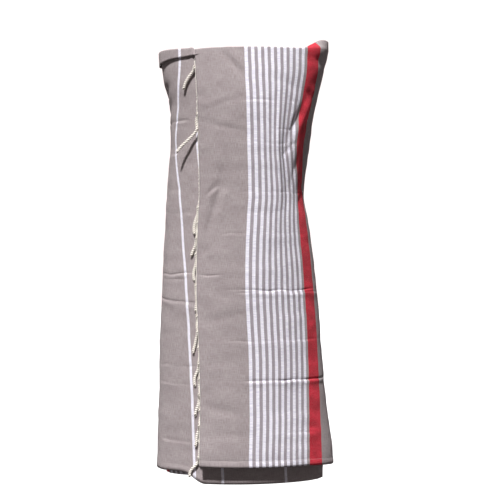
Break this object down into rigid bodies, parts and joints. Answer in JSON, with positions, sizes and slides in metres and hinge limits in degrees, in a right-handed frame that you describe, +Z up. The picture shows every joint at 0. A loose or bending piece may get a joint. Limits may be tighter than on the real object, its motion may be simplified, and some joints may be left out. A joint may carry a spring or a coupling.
{
  "type": "wrapped fouta towel",
  "caption": "Flat-woven striped cotton towel wound as a strapless wrap, with a turned top edge and a knotted cord fringe down the front left.",
  "frame": {"origin": "on the vertical axis of the wrap, level with its top edge, at the place where a shoulder or hip form under the top holds it up", "axes": "+Z up, -Y towards the front, where the fringed end lies, +X towards the wearer's left, which is the right side of the front view"},
  "size_m": [0.4192, 0.2899, 1.039],
  "materials": {
    "striped_cotton": "matte flat weave with slubs, taupe ground with white and red stripes",
    "cream_cord": "matte twisted cotton cord"
  },
  "bodies": {
    "root": {"cloth": "striped_cotton", "fringe_outer": "cream_cord", "fringe_inner": "cream_cord"}
  },
  "joints": []
}
